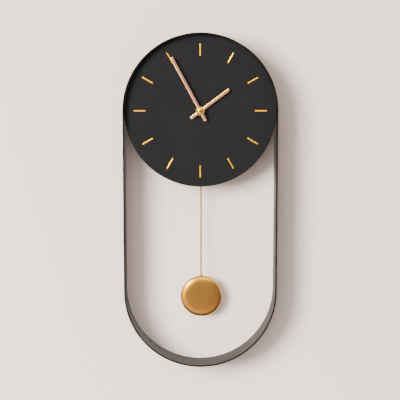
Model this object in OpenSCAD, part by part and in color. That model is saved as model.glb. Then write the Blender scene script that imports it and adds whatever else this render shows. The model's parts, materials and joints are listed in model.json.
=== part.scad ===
// Pendulum wall clock.
// A long steel hoop holds a round dial in its top end, and a brass pendulum swings in the
// open space below. A quartz movement behind the dial drives the hands and the pendulum.
// +X is right seen from the front, +Z is up and the front faces -Y. The wall is at y = 0.
// The origin is the centre of the keyhole's round entry in the hanger plate.

/* [Case band] */
// Outer radius of the top end, which holds the dial
band_top_r = 101.5; // [98:0.5:106]
// Outer radius of the bottom end
band_bottom_r = 100.5; // [96:0.5:101]
// Distance between the centres of the two round ends
arc_spacing = 237.5; // [228:0.5:260]
// Depth of the band, from the wall to its front edge
band_depth = 50; // [49:1:56]
// Thickness of the steel strip
band_t = 2.1; // [1.2:0.1:2.2]

/* [Dial] */
// Depth of the dial's face behind the band's front edge
dial_recess = 8; // [4:0.5:9]
// Thickness of the dial plate
dial_t = 1; // [0.8:0.1:1.2]
// Distance from the dial's centre to the inner end of an hour marker
marker_inner_r = 71.6; // [60:0.1:74]
// Length of an hour marker
marker_length = 15.4; // [8:0.2:18]
// Width of an hour marker
marker_width = 1.7; // [1.6:0.1:5]
// Height of an hour marker above the dial
marker_height = 0.6; // [0.3:0.1:1]

/* [Hands] */
// Length of the hour hand from the centre
hour_length = 47; // [35:0.2:60]
// Length of the minute hand from the centre
minute_length = 79; // [62:0.5:90]
// Length of the hour hand's tail
hour_tail = 15.6; // [8:0.2:25]
// Length of the minute hand's tail
minute_tail = 14.7; // [8:0.1:25]
// Width of both hands
hand_width = 3.9; // [3:0.1:6]
// Angle of the hour hand, clockwise from twelve
hour_angle = 53.1; // [0:0.1:360]
// Angle of the minute hand, clockwise from twelve
minute_angle = 331.5; // [0:0.1:360]

/* [Pendulum] */
// Sideways place of the pendulum's pivot
pendulum_x = 1.2; // [-1:0.1:3]
// Height of the bob's centre below the dial's centre
bob_drop = 248.5; // [200:0.1:262]
// Diameter of the bob
bob_d = 54; // [44:1:64]
// Thickness of the bob
bob_t = 8; // [8:0.5:9]
// Diameter of the pendulum rod
rod_d = 2.2; // [1.4:0.1:2.4]
// Largest swing to each side, where the arm meets its stops
swing_limit = 10; // [8:0.5:12]

/* [Hanger] */
// Radius of the keyhole's round entry
keyhole_r = 4.5; // [4:0.1:5]
// Width of the keyhole's slot, which fits a screw's shank
keyhole_slot = 4.5; // [3.5:0.1:5]
// Height of the slot's end above the entry
keyhole_rise = 8; // [6.5:0.5:9]

/* [Hidden] */
$fn = 96;

black = "#2a2726";
dial_black = "#33312f";
gold = "#d9a860";
rose_gold = "#d9ae8c";
brass = "#e8c04c";
satin_gold = "#b98a48";
steel = "#a9a9ab";
zinc = "#8d9093";
case_plastic = "#1d1d1e";
inner_plastic = "#e6e2d8";
board_green = "#2f6b44";
copper = "#b56a3a";
rubber = "#161616";

// Dial centre, seen from the keyhole
dial_z = -75;
// Gap left between separate pieces that touch along a curve
seat_gap = 0.05;
// Radial clearance of every shaft in its bearing
running_gap = 0.05;
// Radial gap of a push fit within one moving group
push_gap = 0.01;

// Depth of the band's straight sides inside the true tangents of its round ends
tangent_gap = 0.02;

band_inner_top_r = band_top_r - band_t;
band_front = -band_depth;
dial_front = band_front + dial_recess;
dial_back = dial_front + dial_t;
dial_r = band_inner_top_r - 0.2;

// Hanger plate
hanger_t = 1.5;
hanger_low = -11;
hanger_height = 25;
hanger_flange = 12;

// Tabs, studs and nuts that carry the dial
tab_t = 1.5;
tab_width = 16;
tab_inner_r = 84;
tab_foot = 18;
stud_ring_r = 90;
stud_r = 1.5;
stud_length = 5.4;
stud_washer_t = 0.5;
stud_nut_t = 2.4;
stud_nut_flats = 5.5;

// Centre fixing
bush_r = 4;
bush_flange_r = 6;
bush_flange_t = 0.8;
rubber_t = 1;
washer_t = 0.5;
fixing_nut_t = 1.8;
fixing_nut_flats = 10;

// Movement case, as heights from the dial's centre
case_wall = 1.5;
case_half_w = 29;
case_top = 30;
case_bottom = -52;
case_corner = 3;
case_front = dial_back + rubber_t;
case_inner = case_front + case_wall;
case_inner_depth = 13.5;
case_back_inner = case_inner + case_inner_depth;
case_back = case_back_inner + case_wall;
case_split = case_inner + 6.5;
battery_bay_z = 11.6;
screw_sites = [[-24, 6], [24, 6], [-24, -47], [24, -47]];
pillar_r = 2.5;
screw_r = 1.2;
screw_head_r = 2.4;
screw_head_t = 1.2;

// Gear train: a gear's pitch radius is its tooth count times half its module
motion_module = 0.5;
hour_module = 0.48;
centre_module = 0.3;
train_module = 0.25;
rotor_module = 0.2;
tooth_above = 0.75;
tooth_below = 1.1;
tooth_root_share = 0.42;
tooth_tip_share = 0.2;

// Directions from each arbor to the one that it meshes with
motion_dir = 210;
third_dir = 330;
fourth_dir = 250;
intermediate_dir = 190;
rotor_dir = 200;

function polar(r, a) = [r * cos(a), r * sin(a)];
motion_at = polar(motion_module * (12 + 36) / 2, motion_dir);
third_at = polar(centre_module * (60 + 8) / 2, third_dir);
fourth_at = third_at + polar(train_module * (64 + 8) / 2, fourth_dir);
intermediate_at = fourth_at + polar(train_module * (60 + 10) / 2, intermediate_dir);
rotor_at = intermediate_at + polar(rotor_module * (50 + 10) / 2, rotor_dir);

minute_arbor_r = 1.6;
motion_arbor_r = 1.5;
motion_pivot_r = 0.75;
hour_pipe_r = 2.5;
pivot_r = 0.5;
train_plate_depth = [4.1, 4.9];
plate_post_sites = [[-15, 5], [15, 5], [-15, -22], [15, -22]];
core_post_x = [-17.5, 1.5];
core_z = -25.5;
core_depth = [8, 9];
core_x = [-19, 3];
coil_x = [-14, -2];
coil_r = 3.2;
board_x = 17.8;
board_width = 8.2;
board_depth = [9, 10];

// Time-setting knob on the motion wheel's arbor
knob_front = case_back + 0.4;
knob_back = case_back + 4;
knob_r = 6.5;
knob_grooves = 18;

// Hands, stacked towards the front
hand_t = 0.8;
bush_front = dial_front - 3;
hour_hand_front = dial_front - 4.6;
minute_hand_front = dial_front - 6.4;
hand_nut_front = dial_front - 8.2;
hour_hub_r = 4.5;
minute_hub_r = 5;
hand_nut_r = 3.35;
hand_nut_cap = 0.5;

// Battery
battery_r = 7.25;
battery_z = 19.5;
battery_y = case_inner + 7.6;
contact_x = 27;
contact_t = 0.45;
contact_size = 8;

// Pendulum drive, as heights from the dial's centre
pivot_z = -14;
arm_magnet_z = -43;
arm_front = case_back + 0.6;
arm_t = 2;
arm_back = arm_front + arm_t;
arm_end_r = 5.5;
magnet_r = 4;
pin_r = 1;
peg_z = -29;
peg_r = 1.2;
rod_y = arm_back + 2.9;
hanger_bottom_z = -48;
stop_r = 1.5;
bob_wall = 0.8;
bob_corner = 5.5;
bob_dome_r = 150;
clamp_gap = 0.3;
bob_front = rod_y - bob_t / 2;
bob_back = rod_y + bob_t / 2;

// Moves its children from the keyhole's frame to the dial's centre
module at_dial() {
    translate([0, 0, dial_z])
        children();
}

// Turns a flat outline upright and fills it from y = front back to y = back
module slab(front, back) {
    translate([0, back, 0])
        rotate([90, 0, 0])
            linear_extrude(back - front)
                children();
}

// The same, between two depths behind the movement case's inner front face
module layer(depth) {
    slab(case_inner + depth[0], case_inner + depth[1])
        children();
}

module ring(outer_r, inner_r) {
    difference() {
        circle(outer_r);
        circle(inner_r);
    }
}

module hexagon(flats) {
    circle(flats / 2 / cos(30), $fn = 6);
}

// Outline of a gear whose thin straight teeth run clear of the mating gear's
function gear_outline(teeth, m, phase) = [
    for (k = [0 : teeth - 1], corner = [[-1, 0], [-1, 1], [1, 1], [1, 0]])
        let (
            r = m * (teeth / 2 + (corner[1] == 1 ? tooth_above : -tooth_below)),
            share = corner[1] == 1 ? tooth_tip_share : tooth_root_share,
            a = phase + 360 * k / teeth + corner[0] * asin(PI * m * share / 2 / r)
        )
        polar(r, a)
];

// Phase that lets the second gear mesh with a first gear of phase 0 in direction dir
function mesh_phase(teeth_1, teeth_2, dir) = dir + 180 + 180 / teeth_2 + dir * teeth_1 / teeth_2;

module gear(teeth, m, phase, hub_r) {
    r = m * teeth / 2;
    difference() {
        polygon(gear_outline(teeth, m, phase));
        if (teeth > 20)
            for (k = [0 : 4])
                translate(polar((hub_r + r) / 2 + m / 2, 72 * k + 36))
                    circle((r - hub_r) * 0.3);
    }
}

// A plastic arbor of the wheel train with its wheel and pinion in one piece
module train_arbor(at, wheel, wheel_m, wheel_depth, pinion, pinion_m, pinion_phase, pinion_depth) {
    at_dial()
        translate([at[0], 0, at[1]]) {
            layer([train_plate_depth[0] + 0.1, case_inner_depth + 0.8])
                circle(pivot_r);
            layer(wheel_depth)
                gear(wheel, wheel_m, 0, 1.6);
            layer(pinion_depth)
                gear(pinion, pinion_m, pinion_phase, 0);
        }
}

// Stadium block, moved inwards by inset: two round ends joined by their common tangents.
// The straight sides lie a hair inside the tangents, so that they cut the cylinders cleanly.
module stadium(inset, front, back) {
    lean = asin((band_top_r - band_bottom_r) / arc_spacing);
    drop = [0, -arc_spacing];
    top = polar(band_top_r - inset - tangent_gap, -lean);
    bottom = polar(band_bottom_r - inset - tangent_gap, -lean) + drop;
    slab(front, back)
        circle(band_top_r - inset);
    slab(front, back)
        translate(drop)
            circle(band_bottom_r - inset);
    slab(front, back)
        polygon([top, bottom, [-bottom[0], bottom[1]], [-top[0], top[1]]]);
}

module frame_band() {
    color(black)
        at_dial()
            difference() {
                stadium(0, band_front, 0);
                stadium(band_t, band_front - 1, 1);
            }
}

// The strip of the top arc that the hanger plate spans
module hanger_strip() {
    translate([-band_top_r, hanger_low])
        square([2 * band_top_r, hanger_height]);
}

module hanger_plate() {
    weld_r = band_inner_top_r - seat_gap;
    color(black) {
        slab(-hanger_t, 0)
            difference() {
                intersection() {
                    hanger_strip();
                    translate([0, dial_z])
                        circle(weld_r);
                }
                circle(keyhole_r);
                translate([0, keyhole_rise])
                    circle(keyhole_slot / 2);
                translate([-keyhole_slot / 2, 0])
                    square([keyhole_slot, keyhole_rise]);
            }
        slab(-hanger_flange, -hanger_t)
            intersection() {
                hanger_strip();
                translate([0, dial_z])
                    ring(weld_r, weld_r - hanger_t);
            }
    }
}

// The dial's three fixing places, at nine, twelve and three o'clock
module tab_sites() {
    at_dial()
        for (a = [-90, 0, 90])
            rotate([0, a, 0])
                children();
}

module dial_tabs() {
    weld_r = band_inner_top_r - seat_gap;
    color(black)
        tab_sites() {
            slab(dial_back, dial_back + tab_t)
                difference() {
                    intersection() {
                        translate([-tab_width / 2, tab_inner_r])
                            square([tab_width, band_top_r - tab_inner_r]);
                        circle(weld_r);
                    }
                    translate([0, stud_ring_r])
                        circle(stud_r + 0.2);
                }
            slab(dial_back + tab_t, dial_back + tab_foot)
                intersection() {
                    translate([-tab_width / 2, tab_inner_r])
                        square([tab_width, band_top_r - tab_inner_r]);
                    ring(weld_r, weld_r - tab_t);
                }
        }
}

module dial_plate() {
    color(dial_black)
        at_dial()
            slab(dial_front, dial_back)
                ring(dial_r, bush_r + 0.15);
}

module hour_markers() {
    color(gold)
        at_dial()
            for (hour = [1 : 12])
                rotate([0, 30 * hour, 0])
                    slab(dial_front - marker_height, dial_front)
                        translate([-marker_width / 2, marker_inner_r])
                            square([marker_width, marker_length]);
}

module dial_studs() {
    color(zinc)
        tab_sites()
            slab(dial_back, dial_back + stud_length)
                translate([0, stud_ring_r])
                    circle(stud_r);
}

module dial_washers() {
    color(zinc)
        tab_sites()
            slab(dial_back + tab_t, dial_back + tab_t + stud_washer_t)
                translate([0, stud_ring_r])
                    ring(3.5, stud_r + 0.1);
}

module dial_nuts() {
    nut_front = dial_back + tab_t + stud_washer_t;
    color(zinc)
        tab_sites()
            slab(nut_front, nut_front + stud_nut_t)
                translate([0, stud_ring_r])
                    difference() {
                        hexagon(stud_nut_flats);
                        circle(stud_r + seat_gap);
                    }
}

module rubber_washer() {
    color(rubber)
        at_dial()
            slab(dial_back, case_front)
                ring(8, bush_r + 0.15);
}

module brass_washer() {
    color(brass)
        at_dial()
            slab(dial_front - washer_t, dial_front)
                ring(6, bush_r + 0.15);
}

module fixing_nut() {
    color(brass)
        at_dial()
            slab(dial_front - washer_t - fixing_nut_t, dial_front - washer_t)
                difference() {
                    hexagon(fixing_nut_flats);
                    circle(bush_r + seat_gap);
                }
}

module centre_bush() {
    bore_r = hour_pipe_r + running_gap;
    color(brass)
        at_dial() {
            slab(bush_front, case_front)
                ring(bush_r, bore_r);
            slab(case_front, case_front + bush_flange_t)
                ring(bush_flange_r, bore_r);
        }
}

// Outline of the movement case with chamfered corners, moved inwards by inset
module case_outline(inset) {
    w = case_half_w - inset;
    top = case_top - inset;
    bottom = case_bottom + inset;
    c = case_corner - inset / 2;
    polygon([
        [w - c, bottom], [w, bottom + c], [w, top - c], [w - c, top],
        [c - w, top], [-w, top - c], [-w, bottom + c], [c - w, bottom]
    ]);
}

module movement_front_case() {
    color(case_plastic)
        at_dial()
            difference() {
                union() {
                    slab(case_front, case_inner)
                        case_outline(0);
                    slab(case_inner, case_split)
                        difference() {
                            case_outline(0);
                            case_outline(case_wall);
                        }
                    slab(case_inner, case_inner + train_plate_depth[0])
                        for (site = plate_post_sites)
                            translate(site)
                                circle(1.5);
                    slab(case_inner, case_back_inner)
                        for (site = screw_sites)
                            translate(site)
                                circle(pillar_r);
                }
                slab(case_front - 1, case_front + bush_flange_t)
                    circle(bush_flange_r + seat_gap);
                slab(case_front, case_inner + 1)
                    circle(hour_pipe_r + 0.3);
                translate([motion_at[0], 0, motion_at[1]])
                    slab(case_inner - 1, case_inner + 1)
                        circle(motion_pivot_r + running_gap);
                slab(case_back_inner - 9, case_back_inner + 1)
                    for (site = screw_sites)
                        translate(site)
                            circle(screw_r + push_gap);
            }
}

module movement_rear_case() {
    stop_angle = swing_limit;
    stop_x = (pivot_z - arm_magnet_z) * sin(stop_angle) + arm_end_r + stop_r + 0.2;
    stop_z = pivot_z - (pivot_z - arm_magnet_z) * cos(stop_angle);
    color(case_plastic)
        at_dial()
            difference() {
                union() {
                    slab(case_split, case_back_inner)
                        difference() {
                            case_outline(0);
                            case_outline(case_wall);
                        }
                    slab(case_back_inner, case_back)
                        difference() {
                            case_outline(0);
                            intersection() {
                                case_outline(case_wall);
                                translate([-case_half_w, battery_bay_z])
                                    square([2 * case_half_w, case_top]);
                            }
                        }
                    slab(case_inner + 0.3, case_back_inner)
                        translate([-27.3, battery_bay_z - 1.2])
                            square([54.6, 1.2]);
                    slab(case_back_inner - 2.5, case_back_inner)
                        circle(3);
                    slab(case_inner + core_depth[1], case_back_inner)
                        for (x = core_post_x)
                            translate([x, core_z])
                                circle(1.2);
                    slab(case_back, case_back + 0.4)
                        translate([pendulum_x, pivot_z])
                            circle(3);
                    slab(case_back, arm_back)
                        for (side = [-1, 1])
                            translate([pendulum_x + side * stop_x, stop_z])
                                circle(stop_r);
                }
                slab(case_back_inner - 3, case_back_inner + 0.2)
                    circle(minute_arbor_r + running_gap);
                slab(case_back_inner - 1, case_back + 1)
                    translate(motion_at)
                        circle(motion_arbor_r + running_gap);
                for (at = [third_at, fourth_at, intermediate_at, rotor_at])
                    slab(case_back_inner - 1, case_back_inner + 1)
                        translate(at)
                            circle(pivot_r + running_gap);
                slab(case_back_inner - 1, case_back + 1)
                    translate([pendulum_x, pivot_z])
                        circle(pin_r + push_gap);
                slab(case_back_inner - 1, case_back + 1)
                    for (site = screw_sites)
                        translate(site)
                            circle(screw_r + 0.1);
            }
}

module case_screws() {
    color(zinc)
        at_dial()
            for (site = screw_sites)
                translate([site[0], 0, site[1]])
                    difference() {
                        union() {
                            slab(case_back_inner - 8, case_back)
                                circle(screw_r);
                            slab(case_back, case_back + screw_head_t)
                                circle(screw_head_r);
                        }
                        for (turn = [0, 90])
                            rotate([0, turn, 0])
                                translate([-1.5, case_back + screw_head_t - 0.7, -0.35])
                                    cube([3, 2, 0.7]);
                    }
}

module train_plate() {
    color(inner_plastic)
        at_dial()
            layer(train_plate_depth)
                difference() {
                    translate([-17, -25])
                        square([34, 33]);
                    circle(minute_arbor_r + running_gap);
                    translate(motion_at)
                        circle(motion_arbor_r + running_gap);
                    for (at = [third_at, fourth_at, intermediate_at, rotor_at])
                        translate(at)
                            circle(pivot_r + running_gap);
                }
}

module circuit_board() {
    color(board_green)
        at_dial()
            layer(board_depth)
                translate([board_x, -27])
                    square([board_width, 28]);
}

module quartz_crystal() {
    color(steel)
        at_dial()
            translate([board_x + 6.2, case_inner + board_depth[0] - 1.05, -8])
                cylinder(h = 6, r = 1);
}

module control_chip() {
    color(black)
        at_dial()
            layer([board_depth[0] - 0.9, board_depth[0]])
                translate([board_x + 1.5, -15])
                    square([4, 4]);
}

// Places its children on the motor coil's axis, with local Z along +X
module on_coil_axis(x) {
    at_dial()
        translate([x, case_inner + (core_depth[0] + core_depth[1]) / 2, core_z])
            rotate([0, 90, 0])
                children();
}

module coil_bobbin() {
    flange = 0.8;
    color(inner_plastic)
        on_coil_axis(coil_x[0])
            difference() {
                union() {
                    cylinder(h = coil_x[1] - coil_x[0], r = 2);
                    cylinder(h = flange, r = coil_r);
                    translate([0, 0, coil_x[1] - coil_x[0] - flange])
                        cylinder(h = flange, r = coil_r);
                }
                translate([-1.6, -0.6, -1])
                    cube([3.2, 1.2, coil_x[1] - coil_x[0] + 2]);
            }
}

module motor_coil() {
    color(copper)
        on_coil_axis(coil_x[0] + 0.85)
            linear_extrude(coil_x[1] - coil_x[0] - 1.7)
                ring(coil_r - 0.2, 2 + seat_gap);
}

module motor_core() {
    color(steel)
        at_dial()
            layer(core_depth)
                translate([core_x[0], core_z - 1.5])
                    square([core_x[1] - core_x[0], 3]);
}

module stator_plate() {
    leg = 3;
    color(steel)
        at_dial()
            layer([core_depth[0] - 1, core_depth[0]])
                difference() {
                    union() {
                        translate([core_x[0], -21.5])
                            square([core_x[1] - core_x[0], 9]);
                        for (x = [core_x[0], core_x[1] - leg])
                            translate([x, core_z - 1.5])
                                square([leg, 8]);
                    }
                    translate(rotor_at)
                        circle(3.5);
                    translate(intermediate_at)
                        circle(1.6);
                }
}

module rotor() {
    color(zinc)
        at_dial()
            translate([rotor_at[0], 0, rotor_at[1]]) {
                layer([train_plate_depth[0] + 0.1, case_inner_depth + 0.8])
                    circle(pivot_r);
                layer([5.5, 9.5])
                    circle(2.8);
                layer([10.2, 11.6])
                    polygon(gear_outline(10, rotor_module, mesh_phase(50, 10, rotor_dir)));
            }
}

module intermediate_wheel() {
    color(inner_plastic)
        train_arbor(intermediate_at, 50, rotor_module, [10.4, 11.4],
            10, train_module, mesh_phase(60, 10, intermediate_dir), [8.5, 9.9]);
}

module fourth_wheel() {
    color(inner_plastic)
        train_arbor(fourth_at, 60, train_module, [8.7, 9.7],
            8, train_module, mesh_phase(64, 8, fourth_dir), [6.8, 8.2]);
}

module third_wheel() {
    color(inner_plastic)
        train_arbor(third_at, 64, train_module, [7, 8],
            8, centre_module, mesh_phase(60, 8, third_dir), [5.1, 6.5]);
}

module centre_wheel() {
    color(inner_plastic)
        at_dial()
            difference() {
                union() {
                    layer([5.3, 6.3])
                        gear(60, centre_module, 0, 3);
                    layer([5.3, 6.7])
                        circle(3);
                }
                layer([5, 7])
                    circle(minute_arbor_r + running_gap);
            }
}

module minute_arbor() {
    color(steel)
        at_dial() {
            slab(hand_nut_front + hand_nut_cap + 0.1, case_back_inner - 0.1)
                circle(minute_arbor_r);
            layer([2.7, 3.9])
                polygon(gear_outline(12, motion_module, 0));
        }
}

module motion_wheel() {
    color(inner_plastic)
        at_dial()
            translate([motion_at[0], 0, motion_at[1]]) {
                slab(case_inner - 0.9, case_inner + 0.2)
                    circle(motion_pivot_r);
                slab(case_inner + 0.2, knob_back - 0.6)
                    circle(motion_arbor_r);
                layer([0.4, 2.7])
                    polygon(gear_outline(10, hour_module, mesh_phase(40, 10, motion_dir)));
                layer([2.7, 3.9])
                    gear(36, motion_module, mesh_phase(12, 36, motion_dir), 3.5);
            }
}

module setting_knob() {
    color(case_plastic)
        at_dial()
            translate([motion_at[0], 0, motion_at[1]])
                difference() {
                    slab(knob_front, knob_back)
                        circle(knob_r);
                    slab(knob_front - 1, knob_back - 0.5)
                        circle(motion_arbor_r + push_gap);
                    slab(knob_front - 1, knob_back + 1)
                        for (k = [0 : knob_grooves - 1])
                            translate(polar(knob_r + 0.2, 360 * k / knob_grooves))
                                circle(0.6);
                }
}

module hour_wheel() {
    color(inner_plastic)
        at_dial()
            difference() {
                union() {
                    layer([0.6, 1.9])
                        gear(40, hour_module, 0, 3.5);
                    slab(hour_hand_front, case_inner + 1.9)
                        circle(hour_pipe_r);
                }
                slab(hour_hand_front - 1, case_inner + 3)
                    circle(minute_arbor_r + running_gap);
            }
}

// A straight baton hand with a round hub, turned clockwise from twelve
module hand(front, angle, length, tail, hub_r, bore_r) {
    at_dial()
        rotate([0, angle, 0])
            slab(front, front + hand_t)
                difference() {
                    union() {
                        translate([-hand_width / 2, -tail])
                            square([hand_width, length + tail]);
                        circle(hub_r);
                    }
                    circle(bore_r + push_gap);
                }
}

module hour_hand() {
    color(rose_gold)
        hand(hour_hand_front, hour_angle, hour_length, hour_tail, hour_hub_r, hour_pipe_r);
}

module minute_hand() {
    color(rose_gold)
        hand(minute_hand_front, minute_angle, minute_length, minute_tail, minute_hub_r,
            minute_arbor_r);
}

module hand_nut() {
    color(brass)
        at_dial()
            difference() {
                slab(hand_nut_front, minute_hand_front)
                    circle(hand_nut_r);
                slab(hand_nut_front + hand_nut_cap, minute_hand_front + 1)
                    circle(minute_arbor_r + push_gap);
            }
}

module battery() {
    color(copper)
        at_dial()
            translate([0, battery_y, battery_z])
                rotate([0, 90, 0]) {
                    translate([0, 0, -25.2])
                        cylinder(h = 49.4, r = battery_r);
                    translate([0, 0, 24.2])
                        cylinder(h = 1, r = 2.75);
                }
}

// Flat contact plate that stands in the bay's end wall, on the side given
module contact_plate(side) {
    at_dial()
        translate([side * (contact_x + contact_t / 2), battery_y, battery_z])
            cube([contact_t, contact_size, contact_size], center = true);
}

module battery_contact_plus() {
    color(zinc) {
        contact_plate(1);
        at_dial()
            translate([25.25, battery_y, battery_z])
                rotate([0, 90, 0])
                    cylinder(h = contact_x - 25.25, r = 3);
    }
}

module battery_contact_minus() {
    color(zinc) {
        contact_plate(-1);
        at_dial()
            translate([-contact_x, battery_y, battery_z - 3])
                linear_extrude(6)
                    difference() {
                        polygon([[0, -3.5], [1.75, -1], [1.75, 1], [0, 3.5]]);
                        polygon([[-1, -3], [0, -3], [1.4, -0.85], [1.4, 0.85], [0, 3], [-1, 3]]);
                    }
    }
}

module drive_coil() {
    color(copper)
        at_dial()
            slab(case_back_inner - 4.5, case_back_inner - 0.5)
                translate([pendulum_x, arm_magnet_z])
                    ring(7, 2);
}

module drive_board() {
    color(board_green)
        at_dial()
            slab(case_back_inner - 5.5, case_back_inner - 4.5)
                translate([pendulum_x - 10, arm_magnet_z - 7])
                    square([20, 15]);
}

module pivot_pin() {
    color(steel)
        at_dial()
            translate([pendulum_x, 0, pivot_z]) {
                slab(case_back_inner, arm_back + 0.2)
                    circle(pin_r);
                slab(arm_back + 0.2, arm_back + 1)
                    circle(2);
            }
}

module swing_arm() {
    half_w = 3;
    color(inner_plastic)
        at_dial()
            translate([pendulum_x, 0, 0]) {
                slab(arm_front, arm_back)
                    difference() {
                        union() {
                            translate([0, pivot_z])
                                circle(4);
                            translate([0, arm_magnet_z])
                                circle(arm_end_r);
                            translate([-half_w, arm_magnet_z])
                                square([2 * half_w, pivot_z - arm_magnet_z]);
                        }
                        translate([0, pivot_z])
                            circle(pin_r + running_gap);
                        translate([0, arm_magnet_z])
                            circle(magnet_r + push_gap);
                    }
                slab(arm_back, rod_y + 1.6)
                    translate([0, peg_z])
                        circle(peg_r);
                slab(rod_y + 1.6, rod_y + 2.4)
                    translate([0, peg_z])
                        circle(peg_r + 0.8);
            }
}

module arm_magnet() {
    color(zinc)
        at_dial()
            slab(arm_front, arm_back + 0.9)
                translate([pendulum_x, arm_magnet_z])
                    circle(magnet_r);
}

module pendulum_hanger() {
    eye_t = 1.2;
    ferrule_r = 1.7;
    ferrule_top = -36;
    socket_top = -46;
    color(brass)
        at_dial()
            translate([pendulum_x, 0, 0])
                difference() {
                    union() {
                        slab(rod_y - eye_t / 2, rod_y + eye_t / 2)
                            difference() {
                                translate([-3.5, ferrule_top - 1])
                                    square([7, peg_z - ferrule_top + 4.5]);
                                translate([0, peg_z])
                                    circle(peg_r + seat_gap);
                            }
                        translate([0, rod_y, hanger_bottom_z])
                            cylinder(h = ferrule_top - hanger_bottom_z, r = ferrule_r);
                    }
                    translate([0, rod_y, hanger_bottom_z - 1])
                        cylinder(h = socket_top - hanger_bottom_z + 1, r = rod_d / 2 + push_gap);
                }
}

module pendulum_rod() {
    bottom = -bob_drop - 4;
    color(gold)
        at_dial()
            translate([pendulum_x, rod_y, bottom])
                cylinder(h = -46.1 - bottom, r = rod_d / 2);
}

module rod_clamp() {
    clamp = [8, bob_t - bob_wall - 1 - clamp_gap, 12];
    clamp_y = bob_back - 1 - clamp[1] / 2;
    color(zinc)
        at_dial()
            translate([pendulum_x, clamp_y, -bob_drop])
                difference() {
                    cube(clamp, center = true);
                    translate([0, rod_y - clamp_y, -5])
                        cylinder(h = 20, r = rod_d / 2 + push_gap);
                }
}

// Half section of the bob's front, a low dome with a rounded rim, moved inwards by inset.
// The open end reaches below zero by foot.
module bob_section(inset, foot = 0) {
    r = bob_d / 2 - inset;
    h = bob_t - inset;
    c = bob_corner - inset;
    dome_sag = bob_dome_r - sqrt(pow(bob_dome_r, 2) - pow(bob_d / 2 - bob_corner, 2));
    intersection() {
        translate([0, bob_t - bob_dome_r])
            circle(bob_dome_r - inset, $fn = 720);
        union() {
            translate([0, -foot])
                square([r - c, h + foot]);
            translate([0, -foot])
                square([r, h - c - dome_sag + foot]);
            translate([r - c, h - c - dome_sag])
                intersection() {
                    circle(c);
                    square(c);
                }
        }
    }
}

module bob_shell() {
    color(satin_gold)
        at_dial()
            translate([pendulum_x, 0, -bob_drop])
                difference() {
                    translate([0, bob_back, 0])
                        rotate([90, 0, 0])
                            rotate_extrude()
                                difference() {
                                    bob_section(0);
                                    bob_section(bob_wall, 0.01);
                                }
                    translate([0, rod_y, 0])
                        cylinder(h = bob_d, r = rod_d / 2 + 0.1);
                }
}

module bob_back_plate() {
    color(satin_gold)
        at_dial()
            slab(bob_back - 1, bob_back - 0.2)
                translate([pendulum_x, -bob_drop])
                    circle(bob_d / 2 - bob_wall - 0.1);
}

frame_band();
hanger_plate();
dial_tabs();
dial_plate();
hour_markers();
dial_studs();
dial_washers();
dial_nuts();
rubber_washer();
brass_washer();
fixing_nut();
centre_bush();
movement_front_case();
movement_rear_case();
case_screws();
train_plate();
circuit_board();
quartz_crystal();
control_chip();
coil_bobbin();
motor_coil();
motor_core();
stator_plate();
rotor();
intermediate_wheel();
fourth_wheel();
third_wheel();
centre_wheel();
minute_arbor();
motion_wheel();
setting_knob();
hour_wheel();
hour_hand();
minute_hand();
hand_nut();
battery();
battery_contact_plus();
battery_contact_minus();
drive_coil();
drive_board();
pivot_pin();
swing_arm();
arm_magnet();
pendulum_hanger();
pendulum_rod();
rod_clamp();
bob_shell();
bob_back_plate();
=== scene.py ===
"""Looks of the pendulum wall clock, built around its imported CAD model. Metres, front faces -Y."""

import json
import math

import bmesh
import bpy
from mathutils import Euler, Matrix, Vector


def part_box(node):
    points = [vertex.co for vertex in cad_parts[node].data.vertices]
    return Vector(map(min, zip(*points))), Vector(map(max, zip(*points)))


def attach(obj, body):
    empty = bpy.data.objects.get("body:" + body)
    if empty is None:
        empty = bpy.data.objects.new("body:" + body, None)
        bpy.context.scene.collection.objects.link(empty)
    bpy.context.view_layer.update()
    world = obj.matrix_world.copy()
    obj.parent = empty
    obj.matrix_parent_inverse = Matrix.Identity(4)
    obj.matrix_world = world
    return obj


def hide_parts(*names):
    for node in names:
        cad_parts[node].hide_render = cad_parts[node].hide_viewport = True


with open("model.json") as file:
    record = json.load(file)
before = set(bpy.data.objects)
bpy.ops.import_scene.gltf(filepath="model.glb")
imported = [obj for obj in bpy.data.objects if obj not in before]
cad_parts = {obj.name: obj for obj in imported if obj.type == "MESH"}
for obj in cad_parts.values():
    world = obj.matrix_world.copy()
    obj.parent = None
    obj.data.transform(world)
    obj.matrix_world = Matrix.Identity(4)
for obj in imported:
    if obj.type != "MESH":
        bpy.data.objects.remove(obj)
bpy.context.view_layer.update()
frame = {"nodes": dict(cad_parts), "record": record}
NODES = frame["nodes"]
MM = 0.001


# ---------------------------------------------------------------- places from the frame

def low(node):
    return Vector(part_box(node)[0])


def high(node):
    return Vector(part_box(node)[1])


def middle(node):
    return (low(node) + high(node)) / 2


def size(node):
    return high(node) - low(node)


DIAL = middle("dial_plate")
DIAL_FRONT = low("dial_plate").y
DIAL_R = size("dial_plate").x / 2
DIAL_GAP = 0.2 * MM
BAND_TAPER = 1.0 * MM
BAND_TOP_R = size("frame_band").x / 2
BAND_BOTTOM_R = BAND_TOP_R - BAND_TAPER
BAND_T = BAND_TOP_R - DIAL_R - DIAL_GAP
BAND_FRONT = low("frame_band").y
BAND_BACK = high("frame_band").y
BOTTOM_CENTRE_Z = low("frame_band").z + BAND_BOTTOM_R
BOB = middle("bob_shell")
BOB_R = size("bob_shell").x / 2


# ---------------------------------------------------------------- node-tree helpers

def add(tree, kind, values=None, **settings):
    """Adds a shader node, sets its properties and fills its inputs by name or index."""
    made = tree.nodes.new(kind)
    for key, value in settings.items():
        setattr(made, key, value)
    for key, value in (values or {}).items():
        if isinstance(value, bpy.types.NodeSocket):
            tree.links.new(value, made.inputs[key])
        else:
            made.inputs[key].default_value = value
    return made


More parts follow.
